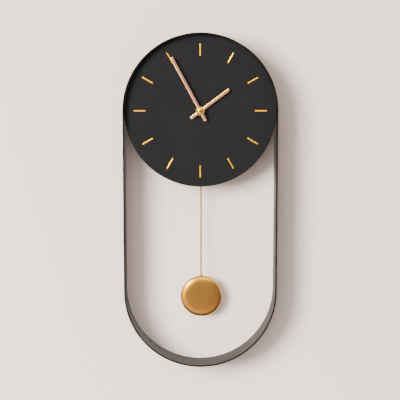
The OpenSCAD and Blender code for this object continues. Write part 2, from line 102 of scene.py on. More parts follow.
def ramp(tree, factor, stops):
    """A colour ramp over (position, grey or colour) stops."""
    made = add(tree, "ShaderNodeValToRGB", {"Fac": factor})
    elements = made.color_ramp.elements
    while len(elements) < len(stops):
        elements.new(0.5)
    for element, (position, value) in zip(elements, stops):
        element.position = position
        element.color = (*value, 1) if isinstance(value, tuple) else (value, value, value, 1)
    return made.outputs["Color"]


def noise(tree, vector, scale, detail=2.0, rough=0.5):
    made = add(tree, "ShaderNodeTexNoise", {"Vector": vector, "Scale": scale, "Detail": detail,
                                            "Roughness": rough})
    return made.outputs["Fac"]


def stretched(tree, vector, scale):
    made = add(tree, "ShaderNodeMapping", {"Vector": vector, "Scale": scale})
    return made.outputs["Vector"]


def math_node(tree, operation, a, b=0.0):
    return add(tree, "ShaderNodeMath", {0: a, 1: b}, operation=operation).outputs[0]


def turned_vector(tree, vector):
    """Coordinates whose first part runs across the rings of a turned or spun surface."""
    x, y, z = add(tree, "ShaderNodeSeparateXYZ", {0: vector}).outputs
    flat = add(tree, "ShaderNodeCombineXYZ", {0: x, 2: z}).outputs[0]
    radius = add(tree, "ShaderNodeVectorMath", {0: flat}, operation="LENGTH").outputs["Value"]
    across = math_node(tree, "ADD", radius, math_node(tree, "MULTIPLY", y, 0.4))
    return add(tree, "ShaderNodeCombineXYZ", {0: across, 1: x, 2: z}).outputs[0]


def mixed(tree, factor, colour_a, colour_b):
    made = add(tree, "ShaderNodeMix", {0: factor}, data_type="RGBA")
    for index, colour in ((6, colour_a), (7, colour_b)):
        if isinstance(colour, bpy.types.NodeSocket):
            tree.links.new(colour, made.inputs[index])
        else:
            made.inputs[index].default_value = (*colour, 1)
    return made.outputs[2]


def bumped(tree, height, strength, distance, under=None):
    values = {"Height": height, "Strength": strength, "Distance": distance}
    if under is not None:
        values["Normal"] = under
    return add(tree, "ShaderNodeBump", values).outputs["Normal"]


def new_material(name):
    made = bpy.data.materials.new(name)
    made.use_nodes = True
    tree = made.node_tree
    shader = tree.nodes["Principled BSDF"]
    where = add(tree, "ShaderNodeTexCoord").outputs["Object"]
    return made, tree, shader, where


def scaled(colour, factor):
    return tuple(min(1.0, c * factor) for c in colour)


# ---------------------------------------------------------------- materials

GOLD_EDGE = (1, 0.77, 0.42)
# Colour of the painted shade on a lower rim.
PAINTED_RIM_SHADE = (0.03, 0.019, 0.013)
SMUDGE = 0.05
MARKS_PER_METRE = {"z": (5200, 5200, 60), "spun": (6000, 40, 40), "cast": (2200, 2200, 2200)}


def coated(name, colour, rough, grain_mm, bump, mottle=0.12, rough_spread=0.08, specular=0.5):
    """Paint, powder coat or moulded plastic: fine grain, cloudy colour and uneven gloss."""
    made, tree, shader, where = new_material(name)
    clouds = noise(tree, where, scale=28, detail=4)
    grain = noise(tree, where, scale=1000 / grain_mm, detail=2, rough=0.6)
    pores = noise(tree, where, scale=380 / grain_mm, detail=3, rough=0.6)
    tone = math_node(tree, "ADD", math_node(tree, "MULTIPLY", clouds, 0.7),
                     math_node(tree, "MULTIPLY", pores, 0.3))
    colours = ramp(tree, tone, [(0.3, scaled(colour, 1 - mottle)), (0.7, scaled(colour, 1 + mottle))])
    tree.links.new(colours, shader.inputs["Base Color"])
    gloss = ramp(tree, pores, [(0.25, rough - rough_spread), (0.75, rough + rough_spread)])
    tree.links.new(gloss, shader.inputs["Roughness"])
    coarse = bumped(tree, pores, bump * 0.7, grain_mm * 0.12 * MM)
    tree.links.new(bumped(tree, grain, bump, grain_mm * 0.05 * MM, coarse), shader.inputs["Normal"])
    shader.inputs["Specular IOR Level"].default_value = specular
    return made


def lower_edge_share(tree):
    """Rises from 0 to 1 where a shoulder turns from the front downwards and a little right: the mask of
    the painted shade on a lower rim.
    """
    facing = add(tree, "ShaderNodeNewGeometry").outputs["Normal"]
    under = add(tree, "ShaderNodeVectorMath", {0: facing, 1: (0.25, 0, -1.0)},
                operation="DOT_PRODUCT").outputs["Value"]
    turned = add(tree, "ShaderNodeSeparateXYZ", {0: facing}).outputs["Y"]
    lower_edge = math_node(tree, "MULTIPLY", under, math_node(tree, "ADD", turned, 1.0))
    return ramp(tree, lower_edge, [(0.07, (0, 0, 0)), (0.15, (1, 1, 1))])


def metal(name, colour, rough, finish, bump=0.25, tint=0.1, painted_rim_shade=False, edge=(1, 1, 1)):
    """Metal with drawn ('z'), turned ('spun') or plain ('cast') tool marks, and optional painted shade
    on a lower rim.
    """
    made, tree, shader, where = new_material(name)
    lines = stretched(tree, turned_vector(tree, where) if finish == "spun" else where,
                      MARKS_PER_METRE[finish])
    marks = noise(tree, lines, scale=1.0, detail=3, rough=0.6)
    clouds = noise(tree, where, scale=55, detail=3)
    colours = ramp(tree, clouds, [(0.3, scaled(colour, 1 - tint)), (0.7, scaled(colour, 1 + tint))])
    # Painted shade: where the rim turns downwards, the colour is mixed towards a near-black brown.
    if painted_rim_shade:
        colours = mixed(tree, lower_edge_share(tree), colours, PAINTED_RIM_SHADE)
    tree.links.new(colours, shader.inputs["Base Color"])
    worn = math_node(tree, "ADD", math_node(tree, "MULTIPLY", marks, 0.6),
                     math_node(tree, "MULTIPLY", clouds, 0.4))
    gloss = ramp(tree, worn, [(0.3, rough - SMUDGE), (0.7, rough + SMUDGE)])
    tree.links.new(gloss, shader.inputs["Roughness"])
    tree.links.new(bumped(tree, marks, bump, 0.01 * MM), shader.inputs["Normal"])
    shader.inputs["Metallic"].default_value = 1.0
    shader.inputs["Specular Tint"].default_value = (*edge, 1)
    return made


def winding(name, colour, pitch_mm):
    """Enamelled wire, wound turn beside turn."""
    made, tree, shader, where = new_material(name)
    waves = add(tree, "ShaderNodeTexWave", {"Vector": where, "Scale": 50 / pitch_mm},
                bands_direction="DIAGONAL").outputs["Fac"]
    # Painted shade: the grooves between turns are darkened to about a third of the wire's colour.
    colours = ramp(tree, waves, [(0.1, scaled(colour, 0.35)), (0.8, colour)])
    tree.links.new(colours, shader.inputs["Base Color"])
    tree.links.new(bumped(tree, waves, 0.8, pitch_mm * 0.4 * MM), shader.inputs["Normal"])
    shader.inputs["Metallic"].default_value = 0.85
    shader.inputs["Roughness"].default_value = 0.32
    shader.inputs["Coat Weight"].default_value = 0.6
    return made


MATERIALS = {
    "black_steel": coated("powder_coat", (0.006, 0.0054, 0.005), rough=0.5, grain_mm=0.55, bump=0.5,
                          specular=0.08),
    "dial_black": coated("dial_paint", (0.0099, 0.0102, 0.0128), rough=0.68, grain_mm=0.35, bump=0.35,
                         mottle=0.08, rough_spread=0.06, specular=0.05),
    "marker_gold": metal("marker_gold", (0.92, 0.51, 0.0), 0.42, "cast", edge=GOLD_EDGE),
    "rose_gold": metal("rose_gold", (1.0, 0.59, 0.5), 0.24, "z", bump=0.3, edge=(1, 0.85, 0.7)),
    "rod_gold": metal("drawn_brass", (0.74, 0.46, 0.0), 0.25, "z", edge=(1, 0.5, 0.1)),
    # The bob's satin gold carries painted shade on its lower rim.
    "satin_gold": metal("satin_gold", (0.47, 0.258, 0.092), 0.34, "spun", bump=0.08, tint=0.04,
                        painted_rim_shade=True, edge=GOLD_EDGE),
    "bright_brass": metal("bright_brass", (0.66, 0.48, 0.02), 0.3, "spun", bump=0.2, edge=GOLD_EDGE),
    "zinc_steel": metal("zinc_plate", (0.5, 0.5, 0.49), 0.32, "cast", bump=0.3),
    "plain_steel": metal("ground_steel", (0.56, 0.56, 0.56), 0.28, "z", bump=0.3),
    "magnet_nickel": metal("nickel_plate", (0.62, 0.6, 0.56), 0.16, "cast", bump=0.15),
    "black_rubber": coated("rubber", (0.016, 0.016, 0.016), rough=0.75, grain_mm=0.5, bump=0.6),
    "case_plastic": coated("moulded_black", (0.012, 0.012, 0.013), rough=0.48, grain_mm=0.45, bump=0.5),
    "white_plastic": coated("acetal", (0.72, 0.7, 0.65), rough=0.42, grain_mm=0.6, bump=0.2,
                            mottle=0.05),
    "chip_black": coated("chip_body", (0.014, 0.014, 0.015), rough=0.55, grain_mm=0.2, bump=0.4),
    "board_green": coated("solder_mask", (0.03, 0.17, 0.07), rough=0.3, grain_mm=0.8, bump=0.3),
    "copper_wire": winding("enamelled_copper", (0.62, 0.27, 0.11), pitch_mm=0.2),
    "battery_jacket": coated("battery_jacket", (0.035, 0.04, 0.05), rough=0.22, grain_mm=2.0, bump=0.12),
}


# ---------------------------------------------------------------- mesh helpers

def finished(name, bm, slot, body, stands_for=(), at=(0, 0, 0), turn=(0, 0, 0), sharp=32):
    """Turns a bmesh into a shaded piece that rides on a body and wears a slot's material."""
    bmesh.ops.recalc_face_normals(bm, faces=bm.faces)
    mesh = bpy.data.meshes.new(name)
    bm.to_mesh(mesh)
    bm.free()
    mesh.shade_smooth()
    mesh.set_sharp_from_angle(angle=math.radians(sharp))
    piece = bpy.data.objects.new(name, mesh)
    bpy.context.scene.collection.objects.link(piece)
    piece.location = at
    piece.rotation_euler = turn
    mesh.materials.append(MATERIALS[slot])
    weighted = piece.modifiers.new("weighted_normals", "WEIGHTED_NORMAL")
    weighted.keep_sharp = True
    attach(piece, body)
    if stands_for:
        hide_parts(*stands_for)


def arc(cx, cy, r, start, end, steps):
    """Points on a circular arc, angles in degrees, both ends included."""
    turns = [math.radians(start + (end - start) * k / steps) for k in range(steps + 1)]
    return [(cx + r * math.cos(a), cy + r * math.sin(a)) for a in turns]


def circle(count):
    """Angles in radians, evenly spaced round a full turn."""
    return [2 * math.pi * k / count for k in range(count)]


def skin(bm, rings):
    """Joins each ring of points to the next one with quads."""
    for one, two in zip(rings, rings[1:]):
        count = len(one)
        for k in range(count):
            n = (k + 1) % count
            bm.faces.new((one[k], one[n], two[n], two[k]))


def closed_skin(bm, rings):
    """Joins the rings and closes both ends."""
    skin(bm, rings)
    bm.faces.new(rings[0])
    bm.faces.new(reversed(rings[-1]))


def lathe(bm, profile, segments, axis="Y", at=(0, 0, 0)):
    """Revolves (radius, height) points about an axis. Height runs along the axis."""
    spin = {"Y": lambda r, h, a: (r * math.cos(a), h, r * math.sin(a)),
            "Z": lambda r, h, a: (r * math.cos(a), r * math.sin(a), h),
            "X": lambda r, h, a: (h, r * math.cos(a), r * math.sin(a))}[axis]
    at = Vector(at)
    rings = []
    for r, h in profile:
        if r < 1e-7:
            rings.append([bm.verts.new(at + Vector(spin(0, h, 0)))])
            continue
        rings.append([bm.verts.new(at + Vector(spin(r, h, a))) for a in circle(segments)])
    for one, two in zip(rings, rings[1:]):
        for k in range(segments):
            n = (k + 1) % segments
            corners = [one[k % len(one)], one[n % len(one)], two[n % len(two)], two[k % len(two)]]
            unique = list(dict.fromkeys(corners))
            if len(unique) > 2:
                bm.faces.new(unique)


def bevelled(bm, width):
    """Rounds every edge at which the faces turn by more than 35 degrees."""
    limit = math.radians(35)
    edges = [e for e in bm.edges if len(e.link_faces) == 2 and e.calc_face_angle() > limit]
    bmesh.ops.bevel(bm, geom=edges, offset=width, offset_type="OFFSET", segments=2,
                    profile=0.5, affect="EDGES", clamp_overlap=True)


def softened(node, slot, body, width):
    """A CAD node's own shape with its edges rounded, standing for the node."""
    bm = bmesh.new()
    bm.from_mesh(NODES[node].data)
    bmesh.ops.remove_doubles(bm, verts=bm.verts, dist=1e-6)
    bmesh.ops.dissolve_limit(bm, angle_limit=math.radians(1), verts=bm.verts, edges=bm.edges)
    bevelled(bm, width)
    finished(f"{node}_finish", bm, slot, body, [node])


# ---------------------------------------------------------------- case, dial and markers

def hoop_path():
    """Stations around the stadium: a centre, the outer radius there and the outward direction."""
    rise = DIAL.z - BOTTOM_CENTRE_Z
    lean = math.asin((BAND_TOP_R - BAND_BOTTOM_R) / rise)
    arc_steps = 160
    side_steps = 12
    stations = []
    for k in range(arc_steps + 1):
        a = -lean + (math.pi + 2 * lean) * k / arc_steps
        stations.append((DIAL.z, BAND_TOP_R, a))
    for k in range(1, side_steps):
        share = k / side_steps
        stations.append((DIAL.z - rise * share, BAND_TOP_R + (BAND_BOTTOM_R - BAND_TOP_R) * share,
                         math.pi + lean))
    for k in range(arc_steps + 1):
        a = math.pi + lean + (math.pi - 2 * lean) * k / arc_steps
        stations.append((BOTTOM_CENTRE_Z, BAND_BOTTOM_R, a))
    for k in range(1, side_steps):
        share = k / side_steps
        stations.append((BOTTOM_CENTRE_Z + rise * share,
                         BAND_BOTTOM_R + (BAND_TOP_R - BAND_BOTTOM_R) * share, -lean))
    return [(Vector((DIAL.x, 0, z)), r, Vector((math.cos(a), 0, math.sin(a))))
            for z, r, a in stations]


def hoop_section():
    """(inset from the outer face, y) points around the strip, with rounded edges."""
    edge = 0.45 * MM
    support = 1.2 * MM
    front_in, back_in = BAND_FRONT + support, BAND_BACK - support
    points = arc(edge, BAND_FRONT + edge, edge, 180, 270, 4)
    points += arc(BAND_T - edge, BAND_FRONT + edge, edge, 270, 360, 4)
    points += [(BAND_T, front_in), (BAND_T, back_in)]
    points += arc(BAND_T - edge, BAND_BACK - edge, edge, 0, 90, 4)
    points += arc(edge, BAND_BACK - edge, edge, 90, 180, 4)
    return points + [(0, back_in), (0, front_in)]


def build_hoop():
    bm = bmesh.new()
    section = hoop_section()
    rings = []
    for centre, r, outward in hoop_path():
        rings.append([bm.verts.new(centre + outward * (r - inset) + Vector((0, y, 0)))
                      for inset, y in section])
    skin(bm, rings + rings[:1])
    finished("hoop", bm, "black_steel", "clock_case", ["frame_band"])


def build_dial():
    bm = bmesh.new()
    edge = 0.3 * MM
    hole = 4.15 * MM
    thick = size("dial_plate").y
    profile = [(hole, thick), (hole, edge / 2), (hole + edge / 2, 0), (DIAL_R * 0.35, 0),
               (DIAL_R * 0.7, 0), (DIAL_R - 3 * edge, 0)]
    profile += arc(DIAL_R - edge, edge, edge, 270, 360, 4)
    profile += [(DIAL_R, thick - edge)] + arc(DIAL_R - edge, thick - edge, edge, 0, 90, 4)[1:]
    profile += [(hole, thick)]
    lathe(bm, profile, 256)
    bmesh.ops.remove_doubles(bm, verts=bm.verts, dist=1e-7)
    finished("dial", bm, "dial_black", "clock_case", ["dial_plate"],
             at=(DIAL.x, DIAL_FRONT, DIAL.z))


def rounded_bar(bm, half_w, start, end, back, front, crown, corner):
    """A bar along Z with round corners, soft edges and a crowned front."""
    outline = []
    for cx, cz, a in ((half_w - corner, end - corner, 0), (corner - half_w, end - corner, 90),
                      (corner - half_w, start + corner, 180), (half_w - corner, start + corner, 270)):
        outline += arc(cx, cz, corner, a, a + 90, 4)
    centre_z = (start + end) / 2
    half_l = (end - start) / 2
    layers = [(0.0, back), (0.0, front + crown * 1.1), (0.04, front + crown * 0.92)]
    layers += [(1 - share, front + crown * share ** 2) for share in (0.85, 0.7, 0.55, 0.4, 0.25, 0.1)]
    rings = []
    for inset, y in layers:
        across = 1 - inset
        along = (half_l - inset * half_w) / half_l
        ring = []
        for x, z in outline:
            ring.append(bm.verts.new((x * across, y, centre_z + (z - centre_z) * along)))
        rings.append(ring)
    closed_skin(bm, rings)


def build_markers():
    """Twelve raised bars. Each is its own island, turned about the dial's centre."""
    front = low("hour_markers").y
    outer = size("hour_markers").x / 2
    length = 15.4 * MM
    half_w = 0.85 * MM
    bm = bmesh.new()
    for hour in range(12):
        bar = bmesh.new()
        rounded_bar(bar, half_w, outer - length, outer, DIAL_FRONT, front, crown=0.36 * MM,
                    corner=0.2 * MM)
        bmesh.ops.rotate(bar, verts=bar.verts, cent=(0, 0, 0),
                         matrix=Matrix.Rotation(math.radians(30 * hour), 3, "Y"))
        scratch = bpy.data.meshes.new("bar")
        bar.to_mesh(scratch)
        bar.free()
        bm.from_mesh(scratch)
        bpy.data.meshes.remove(scratch)
    finished("hour_marker_bars", bm, "marker_gold", "clock_case", ["hour_markers"],
             at=(DIAL.x, 0, DIAL.z), sharp=50)


# ---------------------------------------------------------------- hands

def hand_reach(node):
    """Direction, length and tail of a CAD hand, read from its own vertices."""
    points = [Vector((v.co.x - DIAL.x, v.co.z - DIAL.z)) for v in NODES[node].data.vertices]
    far = max(p.length for p in points)
    tips = [p for p in points if p.length > far - 0.05 * MM]
    direction = sum(tips, Vector((0, 0))).normalized()
    along = [p.dot(direction) for p in points]
    return direction, max(along), -min(along)


def build_hand(node, body, name, half_w, hub_r):
    """A crowned baton and the collar at its centre, with a fine ring turned into the collar."""
    direction, length, tail = hand_reach(node)
    front, back = low(node).y, high(node).y
    bm = bmesh.new()
    rounded_bar(bm, half_w, -tail, length, back, front, crown=0.72 * MM, corner=0.25 * MM)
    turn = math.atan2(direction.x, direction.y)
    finished(name, bm, "rose_gold", body, [node], at=(DIAL.x, 0, DIAL.z), turn=(0, turn, 0),
             sharp=50)
    collar = bmesh.new()
    edge = 0.25 * MM
    hole = 1.9 * MM
    rim = [(hole, back), (hole, front + edge)] + arc(hole + edge, front + edge, edge, 180, 270, 4)
    groove_r = hub_r - 1.3 * MM
    rim += [(groove_r - 0.2 * MM, front), (groove_r, front + 0.12 * MM), (groove_r + 0.2 * MM, front)]
    rim += arc(hub_r - edge, front + edge, edge, 270, 360, 4)
    rim += [(hub_r, back), (hole, back)]
    lathe(collar, rim, 72)
    bmesh.ops.remove_doubles(collar, verts=collar.verts, dist=1e-7)
    finished(f"{name}_collar", collar, "rose_gold", body, at=(DIAL.x, 0, DIAL.z))


def build_hand_nut():
    """A round cap with a domed front."""
    front, back = low("hand_nut").y, high("hand_nut").y
    r = size("hand_nut").x / 2
    height = back - front
    bm = bmesh.new()
    dome = 0.55 * MM
    profile = [(0, front), (r * 0.35, front + 0.04 * MM), (r * 0.62, front + 0.16 * MM),
               (r * 0.8, front + 0.34 * MM), (r * 0.9, front + dome), (r, front + dome + 0.12 * MM),
               (r, front + height * 0.8), (r - 0.15 * MM, front + height * 0.8 + 0.1 * MM),
               (r - 0.15 * MM, back), (0, back)]
    lathe(bm, profile, 72)
    finished("hand_nut_cap", bm, "bright_brass", "minute_works", ["hand_nut"],
             at=(DIAL.x, 0, DIAL.z), sharp=40)


# ---------------------------------------------------------------- pendulum

def build_bob():
    """A pressed shell with a flat face, a wide soft shoulder and a turned-in rim."""
    front, back = low("bob_shell").y, high("bob_shell").y
    depth = back - front
    wall = 0.8 * MM
    dome_r = 300 * MM
    face_r = 17.3 * MM
    lip = 2.2 * MM
    shoulder_w = BOB_R - face_r
    sag = dome_r - math.sqrt(dome_r ** 2 - face_r ** 2)
    shoulder_h = depth - sag - lip
    lean = face_r / dome_r
    profile = []
    for k in range(6):
        r = face_r * k / 6
        profile.append((r, front + dome_r - math.sqrt(dome_r ** 2 - r ** 2)))
    for k in range(25):
        a = math.radians(90 * k / 24)
        out = shoulder_w * math.sin(a)
        profile.append((face_r + out, front + sag + lean * out * math.cos(a)
                        + shoulder_h * (1 - math.cos(a))))
    groove_r = BOB_R - 0.12 * MM
    rolled = 0.3 * MM
    profile += [(BOB_R, back - 1.6 * MM), (groove_r, back - 1.5 * MM), (groove_r, back - 1.3 * MM),
                (BOB_R, back - 1.2 * MM)]
    profile += arc(BOB_R - rolled, back - rolled, rolled, 0, 90, 4)
    profile += [(BOB_R - wall, back), (BOB_R - wall, back - 1.4 * MM)]
    bm = bmesh.new()
    lathe(bm, profile, 192)
    finished("bob_cover", bm, "satin_gold", "pendulum", ["bob_shell"], at=(BOB.x, 0, BOB.z))

    plate_r = size("bob_back_plate").x / 2
    near, far = low("bob_back_plate").y, high("bob_back_plate").y
    bm = bmesh.new()
    ribs = [(0, far - 0.5 * MM), (9 * MM, far - 0.5 * MM), (9.6 * MM, far), (20 * MM, far),
            (20.5 * MM, far - 0.25 * MM), (21 * MM, far), (plate_r - 0.3 * MM, far),
            (plate_r, far - 0.3 * MM), (plate_r, near), (0, near)]
    lathe(bm, ribs, 160)
    finished("bob_back", bm, "satin_gold", "pendulum", ["bob_back_plate"], at=(BOB.x, 0, BOB.z))


def build_rod():
    bottom, top = low("pendulum_rod"), high("pendulum_rod")
    r = size("pendulum_rod").x / 2
    centre = middle("pendulum_rod")
    bm = bmesh.new()
    edge = 0.2 * MM
    lathe(bm, [(0, bottom.z), (r - edge, bottom.z), (r, bottom.z + edge), (r, top.z - edge),
               (r - edge, top.z), (0, top.z)], 40, "Z")
    finished("rod", bm, "rod_gold", "pendulum", ["pendulum_rod"], at=(centre.x, centre.y, 0))


# ---------------------------------------------------------------- fixings

STUD_R = 1.5 * MM
STUD_PITCH = 0.5 * MM
NUT_HALF_FLATS = 2.75 * MM
WASHER_HOLE_R = 1.6 * MM
WASHER_R = 3.5 * MM
SCREW_HEAD_R = 2.4 * MM
SCREW_RECESS = 4.2 * MM


def hexagon_reach(across, angle):
    """Radius of a hexagon's outline at an angle, for a given half width across flats."""
    offset = (angle + math.pi / 6) % (math.pi / 3) - math.pi / 6
    return across / math.cos(offset)


def hex_nut(bm, across, thick, hole, at):
    """A chamfered hexagon nut along Y, from at.y to at.y + thick."""
    angles = circle(72)
    flat = across * 0.96
    slope = math.tan(math.radians(30))
    edge = 0.2 * MM

    def ring(reach, height):
        return [bm.verts.new((at[0] + reach(a) * math.cos(a), at[1] + height(a),
                              at[2] + reach(a) * math.sin(a))) for a in angles]

    def hexagon(a):
        return hexagon_reach(across, a)

    def chamfer(a):
        return (hexagon(a) - flat) * slope

    rings = [ring(lambda a: hole, lambda a: edge), ring(lambda a: hole + edge, lambda a: 0),
             ring(lambda a: flat, lambda a: 0), ring(hexagon, chamfer),
             ring(hexagon, lambda a: thick - chamfer(a)), ring(lambda a: flat, lambda a: thick),
             ring(lambda a: hole + edge, lambda a: thick), ring(lambda a: hole, lambda a: thick - edge)]
    skin(bm, rings + rings[:1])


def washer(bm, hole, outer, thick, at):
    """A flat ring along Y with all four edges broken."""
    edge = thick * 0.25
    profile = [(hole, edge), (hole + edge, 0), (outer - edge, 0), (outer, edge),
               (outer, thick - edge), (outer - edge, thick), (hole + edge, thick),
               (hole, thick - edge), (hole, edge)]
    lathe(bm, profile, 64, "Y", at)


def threaded_rod(bm, r, start, end, pitch, at):
    """A screw thread along Y with a real helix, a plain foot and a chamfered tip."""
    around = 36
    per_pitch = 6
    depth = pitch * 0.5
    rows = int((end - start) / pitch * per_pitch)
    rings = []
    for row in range(rows + 1):
        y = start + (end - start) * row / rows
        fade = min(1.0, (rows - row) / per_pitch, row / per_pitch)
        ring = []
        for k, a in enumerate(circle(around)):
            wave = abs(((row / per_pitch - k / around) % 1.0) * 2 - 1)
            reach = r - depth * (wave * fade + (1 - fade) * (0.6 if row > rows / 2 else 0.1))
            ring.append(bm.verts.new((at[0] + reach * math.cos(a), y, at[1] + reach * math.sin(a))))
        rings.append(ring)
    closed_skin(bm, rings)


def stud_sites():
    """The dial's three fixing places, read from the studs' box."""
    reach = (high("dial_studs").x - low("dial_studs").x) / 2 - STUD_R
    return [(DIAL.x - reach, DIAL.z), (DIAL.x, DIAL.z + reach), (DIAL.x + reach, DIAL.z)]


def build_dial_fixings():
    nuts, washers, studs = bmesh.new(), bmesh.new(), bmesh.new()
    for x, z in stud_sites():
        hex_nut(nuts, NUT_HALF_FLATS, size("dial_nuts").y, STUD_R, (x, low("dial_nuts").y, z))
        washer(washers, WASHER_HOLE_R, WASHER_R, size("dial_washers").y,
               (x, low("dial_washers").y, z))
        threaded_rod(studs, STUD_R, low("dial_studs").y, high("dial_studs").y, STUD_PITCH, (x, z))
    finished("stud_nuts", nuts, "zinc_steel", "clock_case", ["dial_nuts"])
    finished("stud_washers", washers, "zinc_steel", "clock_case", ["dial_washers"])
    finished("weld_studs", studs, "plain_steel", "clock_case", ["dial_studs"], sharp=60)


def screw_sites():
    """The four corners of the case screws' box, drawn in by a head's radius."""
    x = high("case_screws").x - SCREW_HEAD_R
    top = high("case_screws").z - SCREW_HEAD_R
    bottom = low("case_screws").z + SCREW_HEAD_R
    return [(sx, z) for sx in (-x, x) for z in (top, bottom)]


def recessed_head(bm, r, base, top, at, recess):
    """A pan head with a cross recess. The cross is cut down from the top face."""
    segments = 64
    arm, half = recess * 0.36, recess * 0.12
    crown = 0.35 * MM
    wall = [(r, base), (r, top - crown * 1.4), (r * 0.94, top - crown * 0.6), (r * 0.8, top - 0.05 * MM)]
    rings = []
    for reach, y in wall:
        rings.append([bm.verts.new((at[0] + reach * math.cos(a), y, at[1] + reach * math.sin(a)))
                      for a in circle(segments)])
    skin(bm, rings)
    bm.faces.new(rings[0])
    cross = [(arm, -half), (arm, half), (half, half), (half, arm), (-half, arm), (-half, half),
             (-arm, half), (-arm, -half), (-half, -half), (-half, -arm), (half, -arm), (half, -half)]
    rim = [bm.verts.new((at[0] + x, top, at[1] + z)) for x, z in cross]
    narrow, deep = 0.8, 0.62 * MM
    floor = [bm.verts.new((at[0] + x * narrow, top - deep, at[1] + z * narrow)) for x, z in cross]
    edges = []
    for k in range(12):
        n = (k + 1) % 12
        bm.faces.new((rim[k], rim[n], floor[n], floor[k]))
        edges.append(bm.edges.get((rim[k], rim[n])))
    bm.faces.new(floor)
    outer = rings[-1]
    edges += [bm.edges.get((outer[k], outer[(k + 1) % segments])) for k in range(segments)]
    bmesh.ops.triangle_fill(bm, use_beauty=True, use_dissolve=False, edges=edges)


def build_case_screws():
    base, top = high("movement_rear_case").y - 2.6 * MM, high("case_screws").y
    heads = bmesh.new()
    for x, z in screw_sites():
        recessed_head(heads, SCREW_HEAD_R, base, top, (x, z), SCREW_RECESS)
    finished("case_screw_heads", heads, "zinc_steel", "clock_case", ["case_screws"], sharp=40)


# ---------------------------------------------------------------- rear of the clock

def weld_bead(bm, points, r):
    """A row of overlapping weld ripples along a path."""
    rings = []
    for k, point in enumerate(points):
        ahead = points[min(k + 1, len(points) - 1)] - points[max(k - 1, 0)]
        ahead.normalize()
        side = ahead.orthogonal().normalized()
        up = ahead.cross(side)
        swell = r * (0.78 + 0.22 * abs(math.sin(k * 1.1)))
        if k in (0, len(points) - 1):
            swell *= 0.4
        rings.append([bm.verts.new(point + (side * math.cos(a) + up * math.sin(a)) * swell)
                      for a in circle(8)])
    closed_skin(bm, rings)


def arc_points(r, start, end, y):
    """Evenly spaced points on an arc about the dial's centre, angles in degrees."""
    step = 0.6 * MM
    count = max(4, int(abs(math.radians(end - start)) * r / step))
    turns = [math.radians(start + (end - start) * k / count) for k in range(count + 1)]
    return [Vector((DIAL.x + r * math.cos(a), y, DIAL.z + r * math.sin(a))) for a in turns]


def build_welds():
    """Weld beads where the hanger plate and the dial tabs meet the band."""
    bead = 0.55 * MM
    inner = BAND_TOP_R - BAND_T - 0.25 * MM
    bm = bmesh.new()
    flange_y = low("hanger_plate").y - 0.1 * MM
    for side in (1, -1):
        top = math.degrees(math.asin((high("hanger_plate").z - 2 * MM - DIAL.z) / inner))
        bottom = math.degrees(math.asin((low("hanger_plate").z + 2 * MM - DIAL.z) / inner))
        angles = (bottom, top) if side > 0 else (180 - bottom, 180 - top)
        weld_bead(bm, arc_points(inner, *angles, flange_y), bead)
    reach = math.degrees(7 * MM / inner)
    for middle_angle in (0, 90, 180):
        weld_bead(bm, arc_points(inner, middle_angle - reach, middle_angle + reach,
                                 high("dial_tabs").y + 0.1 * MM), bead)
    finished("weld_beads", bm, "black_steel", "clock_case", sharp=80)


def build_battery():
    """A plain AA cell with a shouldered jacket, a raised plus end and a flat minus end."""
    centre = middle("battery")
    half = size("battery").x / 2
    r = size("battery").y / 2
    nub = 1.0 * MM
    shoulder = half - nub
    bm = bmesh.new()
    profile = [(0, -half), (4.6 * MM, -half), (5.2 * MM, -half + 0.25 * MM),
               (r - 1.2 * MM, -half + 0.25 * MM)]
    crimp, turn_in = 1.0 * MM, 0.8 * MM
    profile += arc(r - crimp, -half + 0.25 * MM + crimp, crimp, 270, 360, 6)
    profile += [(r, -half + 4 * MM), (r, shoulder - 4 * MM)]
    profile += arc(r - turn_in, shoulder - turn_in, turn_in, 0, 90, 6)
    profile += [(r - 1.6 * MM, shoulder - 0.3 * MM), (3.4 * MM, shoulder - 0.3 * MM),
                (2.75 * MM, shoulder - 0.1 * MM), (2.65 * MM, half - 0.35 * MM),
                (2.3 * MM, half), (0, half)]
    lathe(bm, profile, 72, "X")
    finished("cell", bm, "battery_jacket", "clock_case", ["battery"], at=centre)


def build_contact_spring():
    """The minus contact: a flat plate carrying a tapered coil spring."""
    near, far = low("battery_contact_minus"), high("battery_contact_minus")
    centre = (near + far) / 2
    plate = 0.35 * MM
    bm = bmesh.new()
    bmesh.ops.create_cube(bm, size=1.0)
    bmesh.ops.scale(bm, vec=(plate, far.y - near.y, far.z - near.z), verts=bm.verts)
    bmesh.ops.translate(bm, vec=(near.x + plate / 2, centre.y, centre.z), verts=bm.verts)
    bevelled(bm, 0.1 * MM)
    wire = 0.22 * MM
    wide, narrow = 3.2, 1.9
    turns, steps = 3.0, 120
    along = Vector((1, 0, 0))
    rings = []
    for k in range(steps + 1):
        share = k / steps
        a = 2 * math.pi * turns * share
        reach = (wide - (wide - narrow) * share) * MM
        x = near.x + plate + wire + (far.x - near.x - plate - 2 * wire) * share
        heart = Vector((x, centre.y + reach * math.cos(a), centre.z + reach * math.sin(a)))
        out = Vector((0, math.cos(a), math.sin(a)))
        rings.append([bm.verts.new(heart + (out * math.cos(t) + along * math.sin(t)) * wire)
                      for t in circle(10)])
    closed_skin(bm, rings)
    finished("contact_spring", bm, "zinc_steel", "clock_case", ["battery_contact_minus"])


